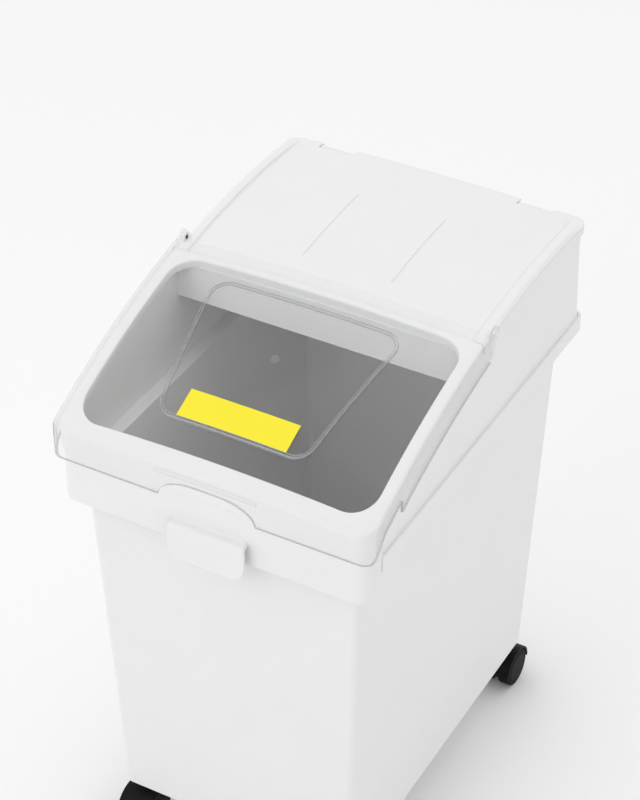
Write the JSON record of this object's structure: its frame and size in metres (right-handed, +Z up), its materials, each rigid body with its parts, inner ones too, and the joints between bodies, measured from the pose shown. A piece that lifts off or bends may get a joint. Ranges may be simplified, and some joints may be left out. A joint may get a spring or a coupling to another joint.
{
  "type": "rolling flour bin",
  "caption": "Tapered rolling flour bin with an arched hood, a hinged rear lid, a clear flip-up front lid and swivel casters.",
  "frame": {"origin": "on the floor under the middle of the bin's outline, closed and on its wheels", "axes": "+Z up, front of the bin towards -Y, +X to the right as seen from the front"},
  "size_m": [0.391, 0.538, 0.7088],
  "materials": {
    "white_plastic": "moulded polypropylene, satin",
    "clear_plastic": "moulded clear polycarbonate, polished",
    "label_film": "plain coloured film label",
    "black_nylon": "moulded nylon, satin black",
    "black_tread": "moulded nylon wheel, smooth black",
    "steel": "zinc-plated turned steel"
  },
  "bodies": {
    "bin": {"tub": "white_plastic", "front_band": "white_plastic", "hood": "white_plastic", "front_left_socket": "black_nylon", "front_left_stem": "steel", "front_right_socket": "black_nylon", "front_right_stem": "steel", "rear_left_socket": "black_nylon", "rear_left_stem": "steel", "rear_right_socket": "black_nylon", "rear_right_stem": "steel"},
    "rear_lid": {"rear_lid": "white_plastic"},
    "clear_lid": {"clear_lid": "clear_plastic", "label": "label_film"},
    "front_left_caster": {"front_left_housing": "black_nylon", "front_left_axle": "steel"},
    "front_left_outer_wheel": {"front_left_wheel_outer": "black_tread"},
    "front_left_inner_wheel": {"front_left_wheel_inner": "black_tread"},
    "front_right_caster": {"front_right_housing": "black_nylon", "front_right_axle": "steel"},
    "front_right_outer_wheel": {"front_right_wheel_outer": "black_tread"},
    "front_right_inner_wheel": {"front_right_wheel_inner": "black_tread"},
    "rear_left_caster": {"rear_left_housing": "black_nylon", "rear_left_axle": "steel"},
    "rear_left_outer_wheel": {"rear_left_wheel_outer": "black_tread"},
    "rear_left_inner_wheel": {"rear_left_wheel_inner": "black_tread"},
    "rear_right_caster": {"rear_right_housing": "black_nylon", "rear_right_axle": "steel"},
    "rear_right_outer_wheel": {"rear_right_wheel_outer": "black_tread"},
    "rear_right_inner_wheel": {"rear_right_wheel_inner": "black_tread"}
  },
  "joints": [
    {"name": "rear_lid_hinge", "type": "hinge", "parent": "bin", "child": "rear_lid", "pos_m": [0, 0.253, 0.69106], "axis": [-1, 0, 0], "range_deg": [0, 95]},
    {"name": "clear_lid_hinge", "type": "hinge", "parent": "rear_lid", "child": "clear_lid", "pos_m": [0, 0.01284, 0.69697], "axis": [-1, 0, 0], "range_deg": [0, 120]},
    {"name": "front_left_swivel", "type": "hinge", "parent": "bin", "child": "front_left_caster", "pos_m": [-0.134, -0.193, 0.055], "axis": [0, 0, 1], "continuous": true},
    {"name": "front_left_outer_roll", "type": "hinge", "parent": "front_left_caster", "child": "front_left_outer_wheel", "pos_m": [-0.147, -0.213, 0.025], "axis": [1, 0, 0], "continuous": true},
    {"name": "front_left_inner_roll", "type": "hinge", "parent": "front_left_caster", "child": "front_left_inner_wheel", "pos_m": [-0.121, -0.213, 0.025], "axis": [1, 0, 0], "continuous": true},
    {"name": "front_right_swivel", "type": "hinge", "parent": "bin", "child": "front_right_caster", "pos_m": [0.134, -0.193, 0.055], "axis": [0, 0, 1], "continuous": true},
    {"name": "front_right_outer_roll", "type": "hinge", "parent": "front_right_caster", "child": "front_right_outer_wheel", "pos_m": [0.147, -0.213, 0.025], "axis": [1, 0, 0], "continuous": true},
    {"name": "front_right_inner_roll", "type": "hinge", "parent": "front_right_caster", "child": "front_right_inner_wheel", "pos_m": [0.121, -0.213, 0.025], "axis": [1, 0, 0], "continuous": true},
    {"name": "rear_left_swivel", "type": "hinge", "parent": "bin", "child": "rear_left_caster", "pos_m": [-0.134, 0.203, 0.055], "axis": [0, 0, 1], "continuous": true},
    {"name": "rear_left_outer_roll", "type": "hinge", "parent": "rear_left_caster", "child": "rear_left_outer_wheel", "pos_m": [-0.147, 0.223, 0.025], "axis": [1, 0, 0], "continuous": true},
    {"name": "rear_left_inner_roll", "type": "hinge", "parent": "rear_left_caster", "child": "rear_left_inner_wheel", "pos_m": [-0.121, 0.223, 0.025], "axis": [1, 0, 0], "continuous": true},
    {"name": "rear_right_swivel", "type": "hinge", "parent": "bin", "child": "rear_right_caster", "pos_m": [0.134, 0.203, 0.055], "axis": [0, 0, 1], "continuous": true},
    {"name": "rear_right_outer_roll", "type": "hinge", "parent": "rear_right_caster", "child": "rear_right_outer_wheel", "pos_m": [0.147, 0.223, 0.025], "axis": [1, 0, 0], "continuous": true},
    {"name": "rear_right_inner_roll", "type": "hinge", "parent": "rear_right_caster", "child": "rear_right_inner_wheel", "pos_m": [0.121, 0.223, 0.025], "axis": [1, 0, 0], "continuous": true}
  ]
}
